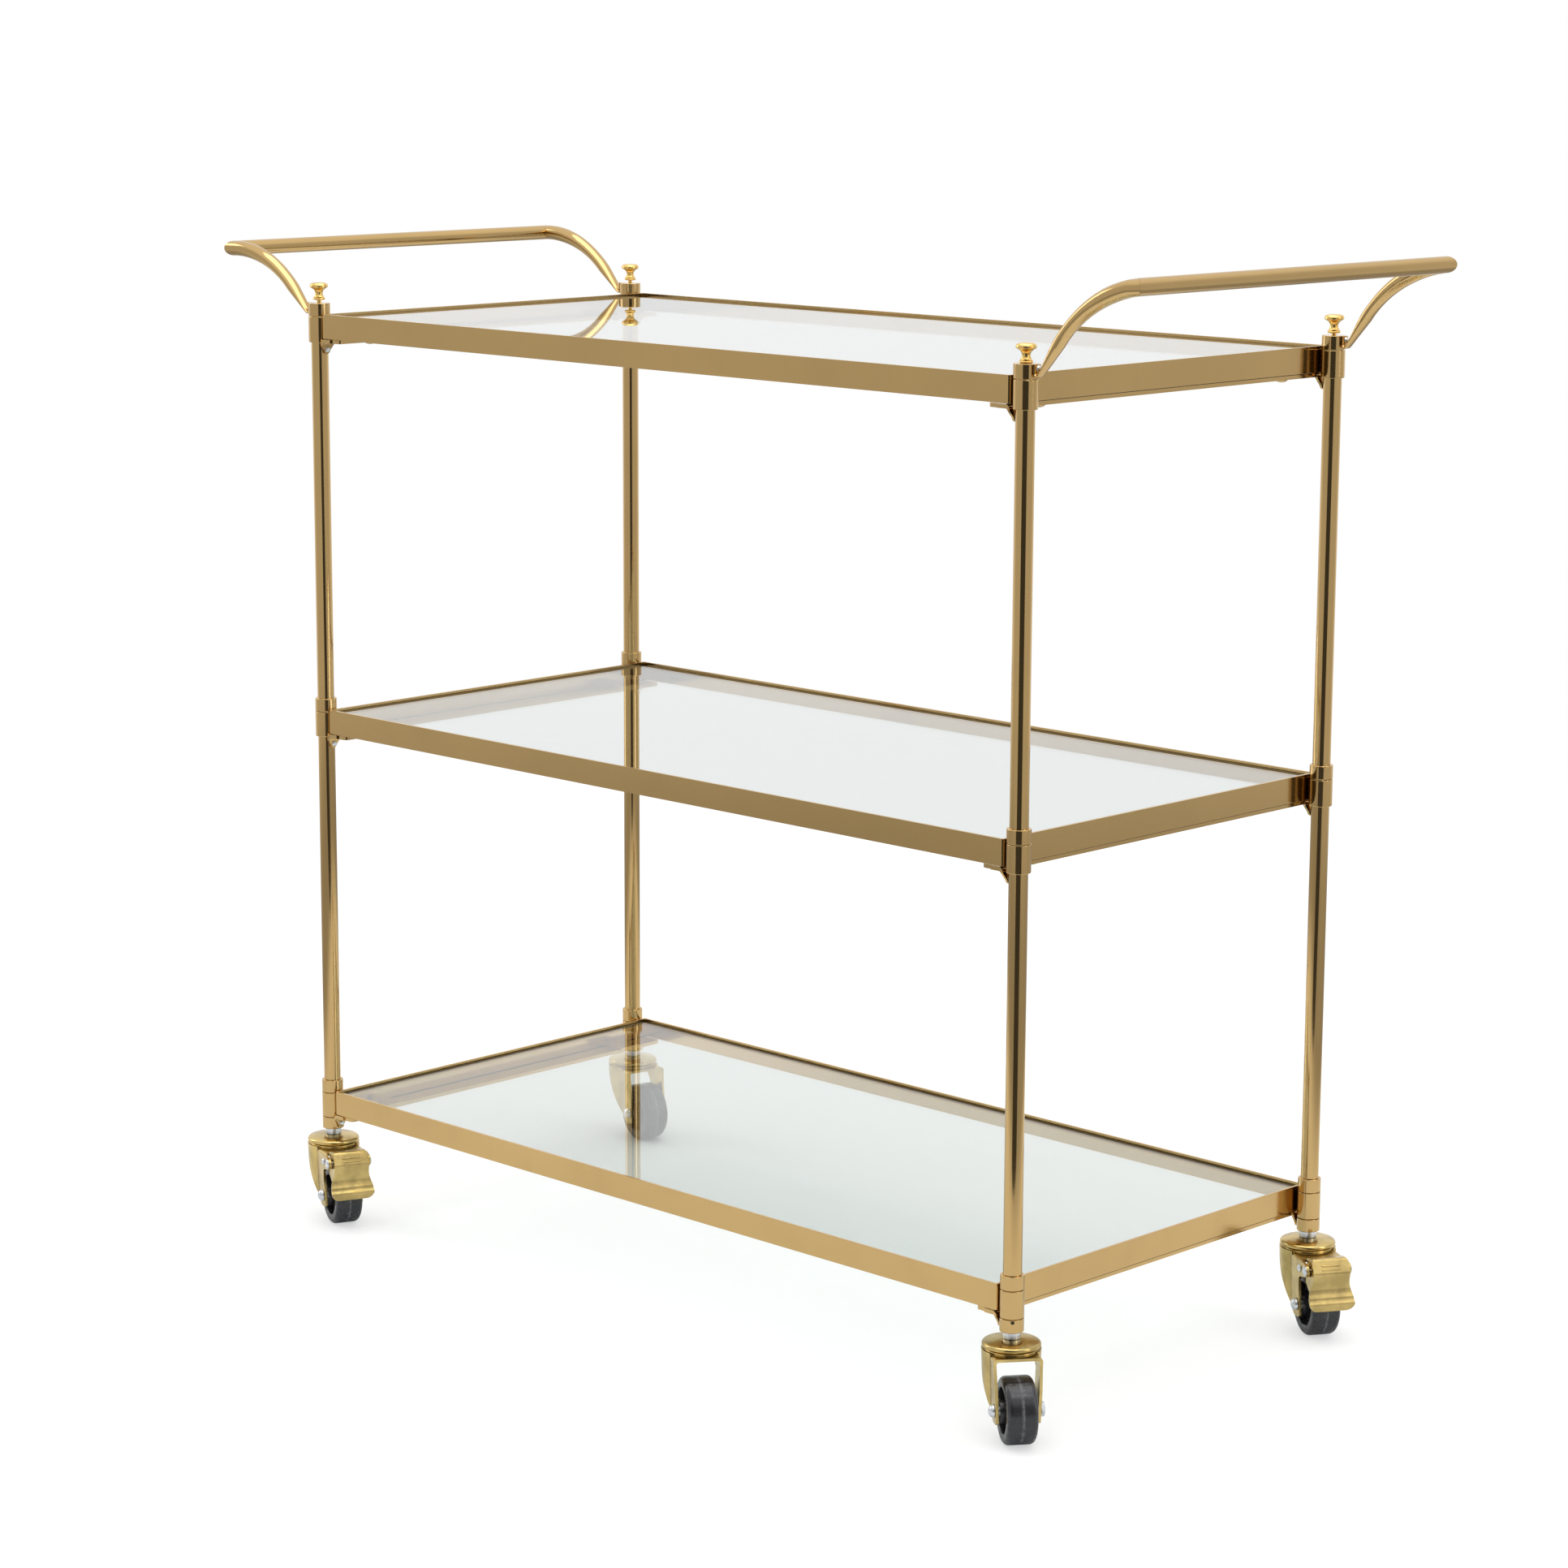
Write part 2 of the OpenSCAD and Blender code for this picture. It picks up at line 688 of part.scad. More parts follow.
module fork(c) {
    front_x = is_braked(c) ? braked_front_x : fork_front_x + 1;
    plate_w = fork_outer_w - fork_plate_t;
    color(satin_gold) at_caster(c) difference() {
        union() {
            difference() {
                union() {
                    for (m = [0, 1]) mirror([0, m, 0]) fork_leg(is_braked(c));
                    translate([0, -plate_w / 2, crown_z]) cube([front_x, plate_w, fork_plate_t]);
                    for (m = [0, 1]) mirror([0, m, 0]) fold_fillet(front_x);
                }
                for (m = [0, 1]) mirror([0, m, 0]) fold_relief(front_x);
                if (!is_braked(c)) lintel_cut();
            }
            rotate_extrude() polygon(concat(
                [[0, crown_z], [crown_r - 0.4, crown_z]],
                arc(crown_r - crown_edge_r, crown_top_z - crown_edge_r, crown_edge_r, -10, 90, 8),
                [[0, crown_top_z]]
            ));
        }
        cylinder(r = kingpin_r + slip, h = cap_z);
        ball_race();
        translate([trail, 0, axle_z]) rotate([90, 0, 0])
            cylinder(r = axle_r + slip, h = 2 * fork_outer_w, center = true);
        if (is_braked(c)) {
            at_side(pivot_x, pivot_z) cylinder(r = pivot_r + slip, h = 2 * fork_outer_w, center = true);
            at_side(spring_pin_x, spring_pin_z)
                cylinder(r = spring_pin_r + slip, h = 2 * fork_outer_w, center = true);
        }
    }
}

// Half the distance between the fork's outer faces at a height
function fork_half(z) = fork_outer_w / 2 - (crown_z - z) * tan(fork_lean);

module axle(c) {
    half = fork_half(axle_z + nut_r) + slip;
    color(zinc) at_caster(c) at_side(trail, axle_z) {
        translate([0, 0, -half - nut_h]) cylinder(r = axle_r, h = 2 * half + nut_h + eps);
        translate([0, 0, half]) button_head(nut_r - 0.6, nut_h + nut_end_h);
        translate([0, 0, -half]) mirror([0, 0, 1]) difference() {
            union() {
                intersection() {
                    cylinder(r = nut_r, h = nut_h, $fn = 6);
                    button_head(1.45 * nut_r, 1.45 * nut_h);
                }
                translate([0, 0, nut_h - 0.4]) button_head(nut_end_r, nut_end_h);
            }
            translate([0, 0, -1]) cylinder(r = axle_r - eps, h = nut_h + 0.5);
        }
    }
}

// Half of the wheel's section: hub, web and rim, with a fine parting line round the tread
module wheel(c) {
    half = wheel_w / 2;
    rim_r = wheel_r - 8;
    shoulder = 4;
    side = concat(
        [[bush_r + slip, hub_half_l], [bush_r + 4, hub_half_l], [bush_r + 5, 5], [rim_r - 1, 4.5],
         [rim_r, half - 0.8], [rim_r + 0.8, half]],
        arc(wheel_r - shoulder, half - shoulder, shoulder, 90, 8, 8),
        [[wheel_r, half / 2], [wheel_r, 0.25]]
    );
    color(black_nylon) at_caster(c) at_side(trail, axle_z) rotate_extrude($fn = 96)
        polygon(concat(side, [[wheel_r - 0.25, 0]],
            [for (i = [len(side) - 1:-1:0]) [side[i][0], -side[i][1]]]));
}

module bush(c) {
    color(zinc) at_caster(c) at_side(trail, axle_z) difference() {
        cylinder(r = bush_r, h = 2 * bush_half_l, center = true);
        cylinder(r = axle_r + slip, h = 4 * bush_half_l, center = true);
    }
}

// ---------- brakes ----------

// Side view of one face of the pedal plate, d inside its outer face: a roof, a front that bulges
// and draws in, then a grooved lip with a rolled edge
function pedal_line(d) = concat(
    [[37.5 + 0.17 * d, 66.6 - 0.98 * d]],
    arc(46.5, 64.6, 3.6 - d, 100, 30, 8),
    arc(50.5, 57.2, 3.8 - d, 30, -15, 8),
    arc(61.8, 45.9, 10 + d, 165, 220, 12),
    arc(51.8, 37.6, 3 - d, 40, 10, 5),
    arc(58.7, 38.8, 4 + d, 190, 235, 8),
    arc(54.9, 33.4, 2.6 - d, 55, -20, 9),
    [[55.8 - 0.94 * d, 28 + 0.34 * d]]
);

module pedal_side() {
    inner = pedal_line(pedal_t);
    polygon(concat(pedal_line(0), [for (i = [len(inner) - 1:-1:0]) inner[i]]));
}

// Front view of half the pedal: nearly straight, then flared into a wide rounded lip
module pedal_front() {
    right = concat(
        [[pedal_half_w - 2.2, 70]],
        arc(pedal_half_w - 3.5, 65, 3.5, 50, 0, 6),
        [for (z = [52:-1.5:38.5]) [pedal_half_w + pedal_flare * ease((52 - z) / 17), z]],
        arc(pedal_half_w - 3.2, 34.9, 6.7, 12, -90, 14)
    );
    polygon(concat(right, [for (i = [len(right) - 1:-1:0]) [-right[i][0], right[i][1]]]));
}

// Side view of the plates that join the pedal to its pivot and its shoe
module ear_side() {
    translate([pivot_x, pivot_z]) circle(ear_r);
    polygon([[39, 57], [38.2, 65.4], [46, 66.8], [50.4, 62.5], [52.8, 57], [51.3, 50], [50.4, 45.5],
             [51.2, 42], [47.5, 41], [43.5, 42.6], [37.5, 47.6], [37.8, 53]]);
}

module shoe_side() {
    face_r = wheel_r + shoe_gap;
    polygon(concat(
        arc(trail, axle_z, face_r, 38, 59, 10),
        arc(trail, axle_z, face_r + shoe_t, 59, 38, 10)
    ));
}

// A raised ridge with rounded ends, lying across the pedal
module ridge() {
    rotate([90, 0, 0]) rotate_extrude() polygon(concat(
        arc(0, ridge_r - ridge_half_l, ridge_r, -90, 0, 6),
        arc(0, ridge_half_l - ridge_r, ridge_r, 0, 90, 6)
    ));
}

module brake_pedal(c) {
    color(satin_gold) at_caster(c) difference() {
        union() {
            intersection() {
                at_side(0, 0) linear_extrude(4 * pedal_half_w, center = true) pedal_side();
                rotate([90, 0, 90]) linear_extrude(4 * trail) pedal_front();
            }
            for (spot = [[51.2, 63.4], [52.7, 60.6]]) translate([spot[0], 0, spot[1]]) ridge();
            for (s = [-1, 1]) translate([0, s * (pedal_half_w - ear_t / 2 - slip), 0]) at_side(0, 0)
                linear_extrude(ear_t, center = true) ear_side();
            at_side(0, 0) linear_extrude(2 * (pedal_half_w - ear_t / 2), center = true) shoe_side();
        }
        at_side(pivot_x, pivot_z) cylinder(r = pivot_r + slip, h = 4 * pedal_half_w, center = true);
    }
}

module rivet(r, head_r) {
    half = fork_half(crown_z) + slip;
    cylinder(r = r, h = 2 * half, center = true);
    for (m = [0, 1]) mirror([0, 0, m]) translate([0, 0, half - eps]) button_head(head_r, rivet_head_h);
}

module brake_pins(c) {
    color(zinc) at_caster(c) {
        at_side(pivot_x, pivot_z) rivet(pivot_r, rivet_head_r);
        at_side(spring_pin_x, spring_pin_z) rivet(spring_pin_r, spring_head_r);
    }
}

// ---------- drawing ----------

for (t = TIERS) shelf_frame(tier_index(t));
for (t = TIERS) shelf_glass(tier_index(t));
for (c = CORNERS) lower_post(c);
for (c = CORNERS) upper_post(c);
shelf_sockets();
post_ferrules();
post_caps();
foot_rings();
post_joiners();
for (t = TIERS, e = ENDS) strap(tier_index(t), e);
strap_screws();
shelf_bolts();
for (e = ENDS) handle_bar(e);
for (c = CORNERS) handle_arm(c);
handle_screws();
finials();
grub_screws();
caster_stems();
swivel_caps();
swivel_balls();
for (c = CORNERS) fork(c);
for (c = CORNERS) axle(c);
for (c = CORNERS) wheel(c);
for (c = CORNERS) bush(c);
for (c = BRAKED) brake_pedal(c);
for (c = BRAKED) brake_pins(c);
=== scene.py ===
"""Looks for the bar cart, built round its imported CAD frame. Metres, +Z up, the cart's long side along X."""
import json
import math

import bmesh
import bpy
from mathutils import Matrix, Vector


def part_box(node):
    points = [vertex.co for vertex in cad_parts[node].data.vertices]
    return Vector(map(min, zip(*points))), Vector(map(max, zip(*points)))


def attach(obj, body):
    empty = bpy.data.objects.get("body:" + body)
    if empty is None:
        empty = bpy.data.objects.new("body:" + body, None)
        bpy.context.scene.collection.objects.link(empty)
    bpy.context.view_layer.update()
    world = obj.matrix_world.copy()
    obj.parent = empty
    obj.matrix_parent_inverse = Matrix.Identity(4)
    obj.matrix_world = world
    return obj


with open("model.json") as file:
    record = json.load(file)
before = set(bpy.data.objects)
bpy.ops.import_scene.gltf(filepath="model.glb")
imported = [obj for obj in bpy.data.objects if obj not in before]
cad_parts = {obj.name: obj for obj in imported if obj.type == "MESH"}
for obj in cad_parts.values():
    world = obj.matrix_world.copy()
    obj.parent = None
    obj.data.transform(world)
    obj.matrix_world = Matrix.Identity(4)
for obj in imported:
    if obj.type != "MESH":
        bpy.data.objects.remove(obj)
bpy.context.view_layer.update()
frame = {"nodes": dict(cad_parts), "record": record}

MM = 0.001
TIERS = ("bottom", "middle", "top")
SIDES = {"left": -1, "right": 1}
STRAP_GAP = 0.5 * MM


# ---------- node helpers ----------

class Nodes:
    """A short way to write one material's or world's node tree."""

    def __init__(self, owner):
        owner.use_nodes = True
        self.tree = owner.node_tree
        self.tree.nodes.clear()

    def add(self, kind, inputs=None, **settings):
        node = self.tree.nodes.new(kind)
        for key, value in settings.items():
            setattr(node, key, value)
        for key, value in (inputs or {}).items():
            self.set(node.inputs[key], value)
        return node

    def set(self, socket, value):
        if isinstance(value, bpy.types.NodeSocket):
            self.tree.links.new(value, socket)
        else:
            socket.default_value = value

    def math(self, operation, a, b=0.0):
        return self.add("ShaderNodeMath", {0: a, 1: b}, operation=operation).outputs[0]

    def ramp(self, value, low, high, to_low=0.0, to_high=1.0):
        """Maps low..high to to_low..to_high, smoothly and clamped."""
        return self.add("ShaderNodeMapRange", {"Value": value, "From Min": low, "From Max": high,
                                               "To Min": to_low, "To Max": to_high},
                        interpolation_type="SMOOTHSTEP").outputs[0]

    def mix(self, factor, a, b):
        """A blend of two colours."""
        node = self.add("ShaderNodeMix", data_type="RGBA")
        self.set(node.inputs[0], factor)
        self.set(node.inputs[6], a)
        self.set(node.inputs[7], b)
        return node.outputs[2]

    def mix_shaders(self, factor, a, b):
        return self.add("ShaderNodeMixShader", {0: factor, 1: a.outputs[0], 2: b.outputs[0]})

    def noise(self, per_metre, detail=3.0, rough=0.5):
        """Noise in object coordinates, with that many features per metre, alike or along x, y and z."""
        place = self.add("ShaderNodeTexCoord").outputs["Object"]
        scale = per_metre if isinstance(per_metre, tuple) else (per_metre,) * 3
        vector = self.add("ShaderNodeMapping", {"Vector": place, "Scale": scale}).outputs[0]
        return self.add("ShaderNodeTexNoise", {"Vector": vector, "Scale": 1.0, "Detail": detail,
                                               "Roughness": rough}).outputs[0]

    def bump(self, height, strength, distance, normal=None):
        node = self.add("ShaderNodeBump", {"Height": height, "Strength": strength, "Distance": distance})
        if normal is not None:
            self.set(node.inputs["Normal"], normal)
        return node.outputs[0]

    def finish(self, shader):
        out = self.add("ShaderNodeOutputMaterial")
        self.tree.links.new(shader, out.inputs[0])


def grey(level):
    return (level, level, level, 1)


def shade(colour, times):
    """The colour made lighter or darker, with an alpha of 1."""
    return tuple(min(1.0, c * times) for c in colour[:3]) + (1.0,)


# ---------- materials ----------

def metal(name, colour, rough, mottle=0.10, fine=900.0, wave=0.02 * MM, streak=None, patch=9.0):
    """A metal with slow tone changes, fine scratches, smudges and, along streak, brushing."""
    smudge_tone, smudge_part, smudge_rough = 0.78, 0.16, 0.05
    brushing_tone, brushing_part = 0.90, 0.5
    material = bpy.data.materials.new(name)
    n = Nodes(material)
    slow = n.noise(patch, detail=4)
    grain = n.noise(fine, detail=2)
    smudge = n.ramp(n.noise(26, detail=5, rough=0.62), 0.48, 0.74)
    tone = n.mix(n.ramp(slow, 0.3, 0.7), shade(colour, 1 - mottle), shade(colour, 1 + mottle))
    tone = n.mix(n.math("MULTIPLY", smudge, smudge_part), tone, shade(colour, smudge_tone))
    height = grain
    roughness = n.math("ADD", n.ramp(grain, 0.2, 0.8, rough * 0.82, rough * 1.18),
                       n.math("MULTIPLY", smudge, smudge_rough))
    if streak:
        brushing = n.noise(streak, detail=3, rough=0.7)
        tone = n.mix(n.ramp(brushing, 0.35, 0.65, 0.0, brushing_part), tone, shade(colour, brushing_tone))
        height = n.math("ADD", height, brushing)
        roughness = n.math("ADD", roughness, n.ramp(brushing, 0.3, 0.7, -0.03, 0.05))
    slow_wave = n.bump(n.noise(60, detail=1), 0.25, wave)
    shader = n.add("ShaderNodeBsdfPrincipled", {
        "Base Color": tone, "Metallic": 1.0, "Roughness": roughness,
        "Normal": n.bump(height, 0.12, 0.01 * MM, slow_wave)})
    n.finish(shader.outputs[0])
    return material


def glass(name):
    """Clear toughened glass with a faint green body, fine dust and a few wiping marks."""
    body_tint, shadow_tint = (0.925, 0.965, 0.945, 1), (0.93, 0.955, 0.945, 1)
    material = bpy.data.materials.new(name)
    n = Nodes(material)
    wipe = n.noise((14, 40, 14), detail=5, rough=0.6)
    dust = n.noise(420, detail=2)
    film = n.math("ADD", n.ramp(wipe, 0.52, 0.78, 0.0, 0.035), n.ramp(dust, 0.66, 0.8, 0.0, 0.03))
    body = n.add("ShaderNodeBsdfPrincipled", {
        "Base Color": body_tint, "Roughness": film, "Transmission Weight": 1.0, "IOR": 1.5,
        "Normal": n.bump(n.noise(7, detail=1), 0.05, 0.02 * MM)})
    open_to_lamps = n.add("ShaderNodeBsdfTransparent", {"Color": shadow_tint})
    path = n.add("ShaderNodeLightPath")
    n.finish(n.mix_shaders(path.outputs["Is Shadow Ray"], body, open_to_lamps).outputs[0])
    return material


def nylon(name, centre, axle):
    """Black moulded nylon for one wheel, with a fine grain.
    A pale parting line and scuffs run along the middle of the tread."""
    black, dusty = (0.013, 0.013, 0.016, 1), (0.055, 0.056, 0.062, 1)
    scuffed, parting = (0.34, 0.34, 0.36, 1), (0.26, 0.26, 0.27, 1)
    dust_part, scuff_part, line_part = 0.30, 0.55, 0.45
    material = bpy.data.materials.new(name)
    n = Nodes(material)
    place = n.add("ShaderNodeTexCoord").outputs["Object"]
    arm = n.add("ShaderNodeVectorMath", {0: place, 1: centre}, operation="SUBTRACT").outputs[0]
    across = n.add("ShaderNodeVectorMath", {0: arm, 1: axle}, operation="DOT_PRODUCT").outputs["Value"]
    across = n.math("ABSOLUTE", across)
    grain = n.noise(1600, detail=2)
    dust = n.ramp(n.noise(150, detail=6, rough=0.7), 0.50, 0.78)
    specks = n.ramp(n.noise(620, detail=3, rough=0.6), 0.60, 0.70)
    worn = n.ramp(across, 0.6 * MM, 4.0 * MM, 1.0, 0.0)
    line = n.math("MULTIPLY", n.ramp(across, 0.2 * MM, 1.4 * MM, 1.0, 0.0),
                  n.ramp(n.noise(330, detail=4), 0.30, 0.60, 0.30, 1.0))
    scuff = n.math("MULTIPLY", specks, n.math("ADD", n.math("MULTIPLY", worn, 0.60), 0.08))
    tone = n.mix(n.math("MULTIPLY", dust, dust_part), black, dusty)
    tone = n.mix(n.math("MULTIPLY", scuff, scuff_part), tone, scuffed)
    tone = n.mix(n.math("MULTIPLY", line, line_part), tone, parting)
    rough = n.math("ADD", n.ramp(grain, 0.3, 0.7, 0.22, 0.30), n.math("MULTIPLY", dust, 0.14))
    shader = n.add("ShaderNodeBsdfPrincipled", {
        "Base Color": tone, "Roughness": rough, "IOR": 1.55,
        "Normal": n.bump(n.math("ADD", grain, n.math("MULTIPLY", scuff, 0.6)), 0.22, 0.03 * MM)})
    n.finish(shader.outputs[0])
    return material


def shade_pad_material(name):
    """Dark brown pressed fibre for the pads that fill the gaps under the rails and paint their shade."""
    dark, light = (0.030, 0.016, 0.008, 1), (0.085, 0.050, 0.026, 1)
    material = bpy.data.materials.new(name)
    n = Nodes(material)
    strands = n.noise((1800, 260, 1800), detail=4)
    shader = n.add("ShaderNodeBsdfPrincipled", {
        "Base Color": n.mix(strands, dark, light), "Roughness": n.ramp(strands, 0.3, 0.7, 0.65, 0.85),
        "Normal": n.bump(strands, 0.3, 0.03 * MM)})
    n.finish(shader.outputs[0])
    return material


BRASS = (0.572, 0.385, 0.163)
YELLOW_BRASS = (0.83, 0.56, 0.19)
GOLD = (0.54, 0.40, 0.155)
ZINC = (0.66, 0.68, 0.71)
DARK_STEEL = (0.16, 0.12, 0.08)

MATERIALS = {
    "rail_brass": metal("rail_brass", BRASS, 0.13, mottle=0.03),
    "tube_brass": metal("tube_brass", BRASS, 0.08, mottle=0.03),
    "collar_brass": metal("collar_brass", BRASS, 0.10, mottle=0.04),
    "finial_brass": metal("finial_brass", YELLOW_BRASS, 0.17, mottle=0.05, streak=(60, 60, 2600)),
    "caster_gold": metal("caster_gold", GOLD, 0.22, mottle=0.20, fine=1500.0, patch=70.0, wave=0.06 * MM),
    "zinc": metal("zinc", ZINC, 0.26, mottle=0.14, fine=1200.0, patch=160.0),
    "dark_steel": metal("dark_steel", DARK_STEEL, 0.35, mottle=0.2, fine=1800.0, patch=200.0),
    "clear_glass": glass("clear_glass"),
    # The dark fibre fills the gaps between straps and rails and paints their shade.
    "gap_shade_fibre": shade_pad_material("gap_shade_fibre"),
}
# Each wheel has its own nylon, because the parting line follows that wheel's place and axle.
for joint in frame["record"]["behaviour"]["joints"]:
    if joint["name"].endswith("_roll"):
        wheel = joint["child"].replace("_roller", "_wheel")
        MATERIALS[wheel] = nylon(wheel + "_nylon", joint["pos_m"], joint["axis"])


def finish_of(node):
    """The name of the material that a CAD node wears."""
    if node.endswith("_glass"):
        return "clear_glass"
    if node.endswith(("_frame", "_strap")):
        return "rail_brass"
    if node == "finials":
        return "finial_brass"
    if node == "swivel_caps" or node.endswith(("_fork", "_brake_pedal")):
        return "caster_gold"
    if node.endswith("_wheel"):
        return node
    if node == "grub_screws":
        return "dark_steel"
    zinc_nodes = ("strap_screws", "handle_screws", "caster_stems", "swivel_balls", "post_joiners")
    if node.endswith(("_axle", "_bush", "_brake_pins")) or node in zinc_nodes:
        return "zinc"
    if node in ("shelf_sockets", "post_ferrules", "post_caps", "foot_rings", "shelf_bolts"):
        return "collar_brass"
    return "tube_brass"


# ---------- softened edges on the CAD nodes ----------

# By the last word of the node's name, in millimetres; 0 leaves the edges and only smooths the shading.
EDGE_WIDTHS = {"frame": 0.55, "glass": 0.5, "strap": 0.45, "fork": 0.45, "pedal": 0.35,
               "axle": 0.2, "screws": 0.12, "arm": 0.0, "caps": 0.0, "finials": 0.0}
EDGE_STEPS = 3
FACE_WEIGHT = 80
WELD = 0.004 * MM
FLAT = math.radians(0.4)
SHARP = math.radians(34)


def smooth_by_angle():
    """A geometry node group that shades every face smoothly and keeps edges over SHARP crisp."""
    tree = bpy.data.node_groups.new("smooth_by_angle", "GeometryNodeTree")
    for way in ("INPUT", "OUTPUT"):
        tree.interface.new_socket("Geometry", in_out=way, socket_type="NodeSocketGeometry")
    entry = tree.nodes.new("NodeGroupInput")
    faces = tree.nodes.new("GeometryNodeSetShadeSmooth")
    faces.domain = "FACE"
    edges = tree.nodes.new("GeometryNodeSetShadeSmooth")
    edges.domain = "EDGE"
    edges.inputs["Shade Smooth"].default_value = False
    angle = tree.nodes.new("GeometryNodeInputMeshEdgeAngle")
    sharp = tree.nodes.new("FunctionNodeCompare")
    sharp.operation = "GREATER_THAN"
    sharp.inputs[1].default_value = SHARP
    leave = tree.nodes.new("NodeGroupOutput")
    tree.links.new(entry.outputs[0], faces.inputs["Geometry"])
    tree.links.new(faces.outputs[0], edges.inputs["Geometry"])
    tree.links.new(angle.outputs["Unsigned Angle"], sharp.inputs[0])
    tree.links.new(sharp.outputs[0], edges.inputs["Selection"])
    tree.links.new(edges.outputs[0], leave.inputs[0])
    return tree


SMOOTH_BY_ANGLE = smooth_by_angle()


def soften(thing, width):
    """Joins the mesh's split corners, rounds its sharp edges by width millimetres and shades it smoothly."""
    thing.modifiers.new("weld", "WELD").merge_threshold = WELD
    flat = thing.modifiers.new("flat", "DECIMATE")
    flat.decimate_type = "DISSOLVE"
    flat.angle_limit = FLAT
    if width:
        bevel = thing.modifiers.new("edge", "BEVEL")
        bevel.width = width * MM
        bevel.segments = EDGE_STEPS
        bevel.limit_method = "ANGLE"
        bevel.angle_limit = SHARP
        bevel.use_clamp_overlap = True
    thing.modifiers.new("smooth", "NODES").node_group = SMOOTH_BY_ANGLE
    shading = thing.modifiers.new("shading", "WEIGHTED_NORMAL")
    shading.keep_sharp = True
    shading.weight = FACE_WEIGHT


def dress_cad():
    """Gives every CAD node its material and, where it helps, softer edges."""
    for name, thing in frame["nodes"].items():
        material = MATERIALS[finish_of(name)]
        if not thing.material_slots:
            thing.data.materials.append(material)
        for place in thing.material_slots:
            place.material = material
        width = EDGE_WIDTHS.get(name.split("_")[-1])
        if width is not None:
            soften(thing, width)


dress_cad()


# ---------- dark pads that paint the shade in the gap between each strap and its rails ---

def add_object(name, mesh, material):
    thing = bpy.data.objects.new(name, mesh)
    bpy.context.scene.collection.objects.link(thing)
    mesh.materials.append(material)
    return thing


def rounded_outline(low_x, high_x, low_y, high_y, corner, steps=6):
    """The corner points of a rectangle with round corners, anticlockwise."""
    quarters = ((high_x - corner, high_y - corner, 0), (low_x + corner, high_y - corner, 90),
                (low_x + corner, low_y + corner, 180), (high_x - corner, low_y + corner, 270))
    turns = [(x, y, math.radians(start + 90 * step / steps))
             for x, y, start in quarters for step in range(steps + 1)]
    return [(x + corner * math.cos(turn), y + corner * math.sin(turn)) for x, y, turn in turns]


def make_gap_shade_pads():
    """A narrow dark pad with rounded ends lies on each strap, under the wall of the rail, and fills the gap
    there with painted shade.
    """
    width, corner = 2.6 * MM, 1.2 * MM
    inset, play = 0.5 * MM, 0.04 * MM
    bm = bmesh.new()
    for tier in TIERS:
        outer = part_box(f"{tier}_frame")[1].x - inset
        for side, sign in SIDES.items():
            strap_low, strap_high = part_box(f"{tier}_{side}_strap")
            low_x, high_x = sorted((sign * (outer - width), sign * outer))
            low_y, high_y = strap_low.y + 2 * inset, strap_high.y - 2 * inset
            outline = rounded_outline(low_x, high_x, low_y, high_y, corner)
            below, above = [[bm.verts.new((x, y, z)) for x, y in outline]
                            for z in (strap_high.z + play, strap_high.z + STRAP_GAP - play)]
            bm.faces.new(below[::-1])
            bm.faces.new(above)
            for i in range(len(outline)):
                j = (i + 1) % len(outline)
                bm.faces.new((below[i], below[j], above[j], above[i]))
    mesh = bpy.data.meshes.new("strap_gap_shade_pads")
    bm.to_mesh(mesh)
    bm.free()
    gap_shade_pads = add_object("strap_gap_shade_pads", mesh, MATERIALS["gap_shade_fibre"])
    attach(gap_shade_pads, "cart")


make_gap_shade_pads()


# ---------- studio ----------

def make_floor():
    """A pale floor that fades out round the cart.
    Seen in the metal or through the glass, it is a little darker."""
    size, fade_from, fade_to, below_wheels = 3.2, 1.6, 3.0, 0.2 * MM
    near_tone, far_tone, glass_tone = (0.72, 0.73, 0.735, 1), grey(0.30), (0.60, 0.61, 0.607, 1)
    glow_part = 0.55
    mesh = bpy.data.meshes.new("floor")
    bm = bmesh.new()
    bmesh.ops.create_circle(bm, cap_ends=True, segments=96, radius=size)
    bm.to_mesh(mesh)
    bm.free()
    material = bpy.data.materials.new("floor_paper")
    n = Nodes(material)
    place = n.add("ShaderNodeTexCoord").outputs["Object"]
    radius = n.add("ShaderNodeVectorMath", {0: place}, operation="LENGTH").outputs["Value"]
    path = n.add("ShaderNodeLightPath")
    seen = path.outputs["Is Camera Ray"]
    grain = n.mix(n.noise(30), grey(0.95), grey(0.98))
    dim = n.mix(n.ramp(radius, 0.75, 1.25), near_tone, far_tone)
    tone = n.mix(path.outputs["Is Transmission Ray"], n.mix(seen, dim, grain), glass_tone)
    matt = n.add("ShaderNodeBsdfPrincipled", {
        "Base Color": tone, "Roughness": 0.7, "Specular IOR Level": 0.2})
    glow = n.add("ShaderNodeEmission", {0: grey(1), 1: 1.0})
    paper = n.mix_shaders(n.math("MULTIPLY", seen, glow_part), matt, glow)
    nothing = n.add("ShaderNodeBsdfTransparent")
    n.finish(n.mix_shaders(n.ramp(radius, fade_from, fade_to), paper, nothing).outputs[0])
    floor = add_object("floor", mesh, material)
    floor.location.z = -below_wheels


